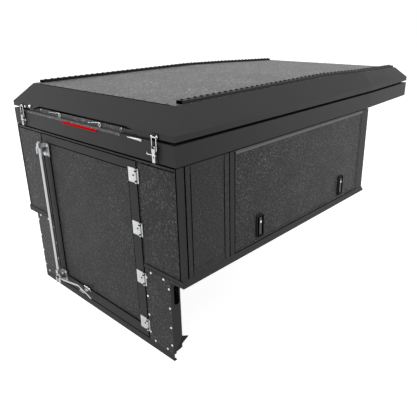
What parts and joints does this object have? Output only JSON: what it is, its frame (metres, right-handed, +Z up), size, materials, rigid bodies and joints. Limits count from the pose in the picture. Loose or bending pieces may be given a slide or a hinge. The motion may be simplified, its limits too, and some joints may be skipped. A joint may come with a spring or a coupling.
{
  "type": "pickup truck canopy",
  "caption": "Square-sided pickup bed canopy with a lift-up lid, an over-cab nose, a hinged rear door with lock rod and top-hinged side doors.",
  "frame": {"origin": "centre of the front rail's underside, on the load bed's rail", "axes": "+X to the vehicle's right, +Y forward along the vehicle, +Z up"},
  "size_m": [1.478, 2.434, 1.295],
  "materials": {
    "powder_coat_stucco": "satin black powder coat on stucco-embossed aluminium sheet",
    "powder_coat_satin": "satin black powder coat",
    "stainless": "brushed stainless steel",
    "black_plastic": "matte",
    "grey_metal": "satin grey paint",
    "rubber": "matte",
    "red_lens": "clear red"
  },
  "bodies": {
    "canopy": {"front_wall": "powder_coat_stucco", "rear_panel_left": "powder_coat_stucco", "rear_panel_right": "powder_coat_stucco", "side_panels": "powder_coat_stucco", "side_door_skin_left": "powder_coat_stucco", "rear_skirts": "powder_coat_stucco", "bed_rails": "powder_coat_satin", "front_rail": "powder_coat_satin", "front_posts": "powder_coat_satin", "mid_posts": "powder_coat_satin", "rear_posts": "powder_coat_satin", "rear_header": "powder_coat_satin", "side_headers": "powder_coat_satin", "rear_sill": "powder_coat_satin", "tray_rear": "powder_coat_satin", "tray_sides": "powder_coat_satin", "tray_nose": "powder_coat_satin", "tray_floor": "powder_coat_satin", "side_door_frame_left": "powder_coat_satin", "tie_brackets": "powder_coat_satin", "lid_hinge_bases": "powder_coat_satin", "hinge_frame_leaves": "stainless", "latch_bases": "stainless", "rod_keepers": "stainless", "lashing_eyes": "stainless", "paddle_frames_left": "black_plastic", "side_hinge_base_right": "grey_metal", "side_hinge_left": "grey_metal", "paddles_left": "grey_metal", "lid_seal": "rubber", "body_gasket": "rubber", "brake_light": "red_lens"},
    "lid": {"lid_shell": "powder_coat_stucco", "roof_skin": "powder_coat_stucco", "roof_rails": "powder_coat_satin", "lid_hinge_straps": "powder_coat_satin", "latch_keepers": "stainless"},
    "rear_door": {"rear_door_frame": "powder_coat_satin", "rear_door_panel": "powder_coat_stucco", "hinge_door_leaves": "stainless", "rod_guides": "stainless", "handle_catch": "stainless"},
    "lock_rod": {"lock_rod": "stainless", "lock_handle": "stainless"},
    "side_door": {"side_door_skin_right": "powder_coat_stucco", "side_door_frame_right": "powder_coat_satin", "side_hinge_leaf_right": "grey_metal", "paddle_frames_right": "black_plastic"},
    "paddle_rear": {"paddle_rear_right": "grey_metal"},
    "paddle_front": {"paddle_front_right": "grey_metal"},
    "latch_lever_right": {"latch_lever_right": "stainless"},
    "latch_lever_left": {"latch_lever_left": "stainless"},
    "latch_bail_right": {"latch_bail_right": "stainless"},
    "latch_bail_left": {"latch_bail_left": "stainless"}
  },
  "joints": [
    {"name": "lid_hinge", "type": "hinge", "parent": "canopy", "child": "lid", "pos_m": [0, 0.662, 0.685], "axis": [-1, 0, 0], "range_deg": [0, 30]},
    {"name": "rear_door_hinge", "type": "hinge", "parent": "canopy", "child": "rear_door", "pos_m": [0.4485, -1.731, 0], "axis": [0, 0, 1], "range_deg": [0, 110]},
    {"name": "lock_rod_turn", "type": "hinge", "parent": "rear_door", "child": "lock_rod", "pos_m": [-0.418, -1.753, 0], "axis": [0, 0, -1], "range_deg": [0, 95]},
    {"name": "side_door_hinge", "type": "hinge", "parent": "canopy", "child": "side_door", "pos_m": [0.7265, 0, 0.569], "axis": [0, -1, 0], "range_deg": [0, 88]},
    {"name": "paddle_rear_turn", "type": "hinge", "parent": "side_door", "child": "paddle_rear", "pos_m": [0.7275, -1.143, 0.167], "axis": [0, -1, 0], "range_deg": [0, 35]},
    {"name": "paddle_front_turn", "type": "hinge", "parent": "side_door", "child": "paddle_front", "pos_m": [0.7275, -0.296, 0.167], "axis": [0, -1, 0], "range_deg": [0, 35]},
    {"name": "latch_lever_right_turn", "type": "hinge", "parent": "canopy", "child": "latch_lever_right", "pos_m": [0.604, -1.738, 0.658], "axis": [-1, 0, 0], "range_deg": [0, 150]},
    {"name": "latch_lever_left_turn", "type": "hinge", "parent": "canopy", "child": "latch_lever_left", "pos_m": [-0.604, -1.738, 0.658], "axis": [-1, 0, 0], "range_deg": [0, 150]},
    {"name": "latch_bail_right_turn", "type": "hinge", "parent": "latch_lever_right", "child": "latch_bail_right", "pos_m": [0.604, -1.737, 0.64], "axis": [-1, 0, 0], "range_deg": [-138, 0]},
    {"name": "latch_bail_left_turn", "type": "hinge", "parent": "latch_lever_left", "child": "latch_bail_left", "pos_m": [-0.604, -1.737, 0.64], "axis": [-1, 0, 0], "range_deg": [-138, 0]}
  ],
  "couplings": [
    {"joint": "latch_bail_right_turn", "follows": "latch_lever_right_turn", "ratio": -0.92},
    {"joint": "latch_bail_left_turn", "follows": "latch_lever_left_turn", "ratio": -0.92}
  ]
}
